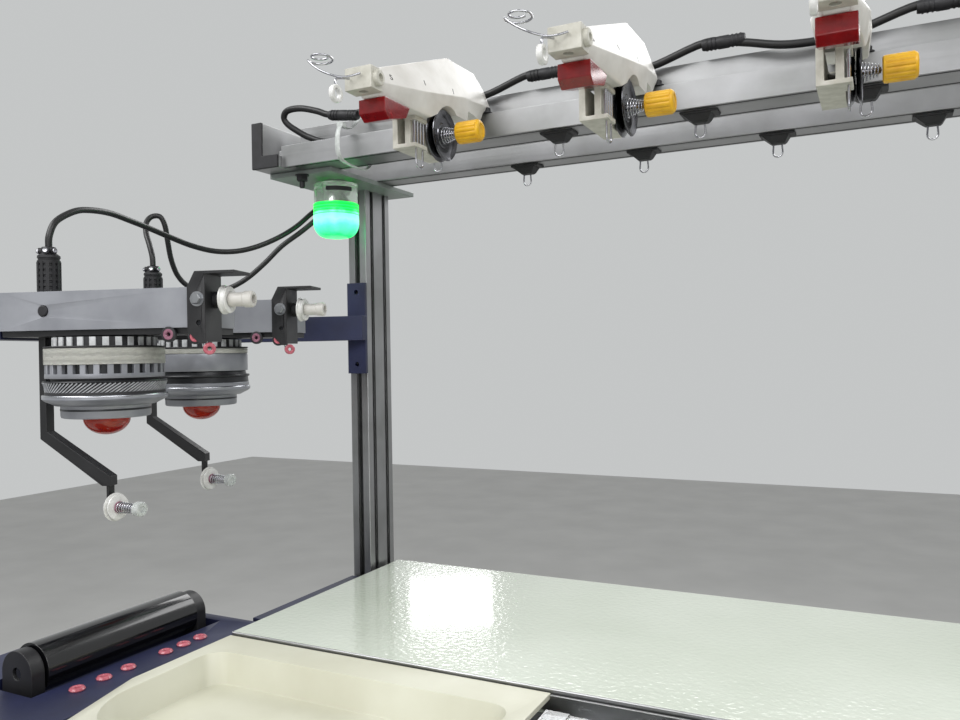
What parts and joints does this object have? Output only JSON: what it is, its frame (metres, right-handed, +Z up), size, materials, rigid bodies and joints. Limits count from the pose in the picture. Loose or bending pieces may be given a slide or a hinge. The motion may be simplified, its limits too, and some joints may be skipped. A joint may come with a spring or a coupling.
{
  "type": "industrial flat knitting machine",
  "caption": "Flat knitting machine with a cam carriage under clear sliding covers, a yarn table, a rail frame with yarn tensioners, storage feeders, a feed roller and moulded housings.",
  "frame": {"origin": "on the floor, under the middle of the machine's box with its feeder frame", "axes": "+X along the machine's length, towards the end away from the storage feeders; +Y from the operator's side to the rear; +Z up"},
  "size_m": [2.6564, 0.9, 1.816],
  "materials": {
    "frame_grey": "satin paint",
    "foot_grey": "dark cast",
    "navy": "textured satin paint",
    "panel_grey": "satin paint",
    "cream_moulding": "satin moulding",
    "screen_dark": "glossy dark",
    "cream_enamel": "glossy enamel with a fine orange peel",
    "aluminium": "drawn, satin anodised",
    "plate_grey": "satin paint",
    "black_plastic": "matte",
    "white_plastic": "satin moulding",
    "red_lens": "dark translucent red",
    "beige_plastic": "matte moulding",
    "chrome": "polished",
    "yellow_plastic": "satin, fluted",
    "green_lens": "translucent, lit",
    "feeder_grey": "satin cast housing",
    "black_metal": "black satin",
    "white_ceramic": "glazed ceramic and steel",
    "drum_grey": "smooth satin",
    "yarn": "close turns of yarn",
    "roller_black": "glossy smooth",
    "pink_ceramic": "glazed ceramic",
    "steel": "ground",
    "carriage_grey": "satin paint",
    "orange_plastic": "matte",
    "clear_cover": "clear acrylic",
    "stop_red": "gloss",
    "belt_black": "matte",
    "cable_black": "satin jacket"
  },
  "bodies": {
    "machine": {"base_frame": "frame_grey", "levelling_feet": "foot_grey", "end_cabinets": "navy", "rear_panel": "panel_grey", "left_side_cover": "navy", "right_side_cover": "navy", "head_housing": "cream_moulding", "right_housing": "cream_moulding", "front_fairing": "cream_moulding", "screen_bezel": "navy", "screen": "screen_dark", "yarn_table": "cream_enamel", "table_strip": "aluminium", "posts": "aluminium", "post_plates": "plate_grey", "cross_members": "aluminium", "front_rail": "aluminium", "rear_rail": "aluminium", "end_caps": "black_plastic", "loop_clips": "black_plastic", "tensioner_housings": "white_plastic", "tensioner_lamps": "red_lens", "tensioner_brackets": "beige_plastic", "tensioner_discs": "chrome", "tensioner_knobs": "yellow_plastic", "tensioner_wires": "chrome", "signal_lamp_body": "white_plastic", "signal_lamp_lens": "green_lens", "feeder_arm": "navy", "feeder_housings": "feeder_grey", "feeder_plugs": "black_plastic", "feeder_brackets": "black_metal", "feeder_discs": "white_ceramic", "feeder_lenses": "red_lens", "roller_brackets": "black_metal", "yarn_eyelets": "pink_ceramic", "front_needle_bed": "steel", "carriage_rails": "steel", "carrier_rails": "steel", "cover_rails": "aluminium", "side_tension_bracket": "black_metal", "belt_drive": "belt_black", "feeder_cable_1": "cable_black", "feeder_cable_2": "cable_black", "tensioner_cable": "cable_black"},
    "carriage": {"carriage": "carriage_grey"},
    "yarn_carrier_1": {"yarn_carrier_1": "orange_plastic"},
    "yarn_carrier_2": {"yarn_carrier_2": "orange_plastic"},
    "rear_bed": {"rear_needle_bed": "steel"},
    "left_cover": {"sliding_cover_left": "clear_cover"},
    "right_cover": {"sliding_cover_right": "clear_cover"},
    "feed_roller": {"feed_roller": "roller_black"},
    "drum_1": {"feeder_drum_1": "drum_grey", "yarn_winding": "yarn"},
    "drum_2": {"feeder_drum_2": "drum_grey"},
    "take_down_roller": {"take_down_roller": "steel"},
    "pressure_roller": {"pressure_roller": "roller_black"},
    "start_bar": {"start_bar": "chrome"},
    "emergency_stop": {"emergency_stop": "stop_red"},
    "side_arms": {"side_arms": "chrome"}
  },
  "joints": [
    {"name": "carriage_travel", "type": "slide", "parent": "machine", "child": "carriage", "axis": [1, 0, 0], "range_m": [0, 1.33]},
    {"name": "carrier_1_travel", "type": "slide", "parent": "machine", "child": "yarn_carrier_1", "axis": [1, 0, 0], "range_m": [-0.17, 1.13]},
    {"name": "carrier_2_travel", "type": "slide", "parent": "machine", "child": "yarn_carrier_2", "axis": [1, 0, 0], "range_m": [-0.25, 1.05]},
    {"name": "bed_racking", "type": "slide", "parent": "machine", "child": "rear_bed", "axis": [1, 0, 0], "range_m": [-0.012, 0.012]},
    {"name": "left_cover_slide", "type": "slide", "parent": "machine", "child": "left_cover", "axis": [1, 0, 0], "range_m": [0, 0.605]},
    {"name": "right_cover_slide", "type": "slide", "parent": "machine", "child": "right_cover", "axis": [1, 0, 0], "range_m": [-0.605, 0]},
    {"name": "feed_roller_spin", "type": "hinge", "parent": "machine", "child": "feed_roller", "pos_m": [-1.12479, 0.005, 1.2], "axis": [0, 1, 0], "continuous": true},
    {"name": "drum_1_spin", "type": "hinge", "parent": "machine", "child": "drum_1", "pos_m": [-1.09879, -0.02, 1.5], "axis": [0, 0, 1], "continuous": true},
    {"name": "drum_2_spin", "type": "hinge", "parent": "machine", "child": "drum_2", "pos_m": [-1.15296, 0.16524, 1.5], "axis": [0, 0, 1], "continuous": true},
    {"name": "take_down_spin", "type": "hinge", "parent": "machine", "child": "take_down_roller", "pos_m": [0.05171, -0.13, 0.7], "axis": [1, 0, 0], "continuous": true},
    {"name": "pressure_roller_spin", "type": "hinge", "parent": "machine", "child": "pressure_roller", "pos_m": [0.05171, -0.181, 0.7], "axis": [1, 0, 0], "continuous": true},
    {"name": "start_bar_swing", "type": "hinge", "parent": "machine", "child": "start_bar", "pos_m": [0.05171, -0.438, 0.775], "axis": [1, 0, 0], "range_deg": [-12, 12]},
    {"name": "stop_press", "type": "slide", "parent": "machine", "child": "emergency_stop", "axis": [0, 1, 0], "range_m": [0, 0.006]},
    {"name": "side_arm_swing", "type": "hinge", "parent": "machine", "child": "side_arms", "pos_m": [-1.19479, 0.04, 1.092], "axis": [0, 1, 0], "range_deg": [-9, 25]}
  ],
  "couplings": [
    {"joint": "pressure_roller_spin", "follows": "take_down_spin", "ratio": -1.5}
  ]
}
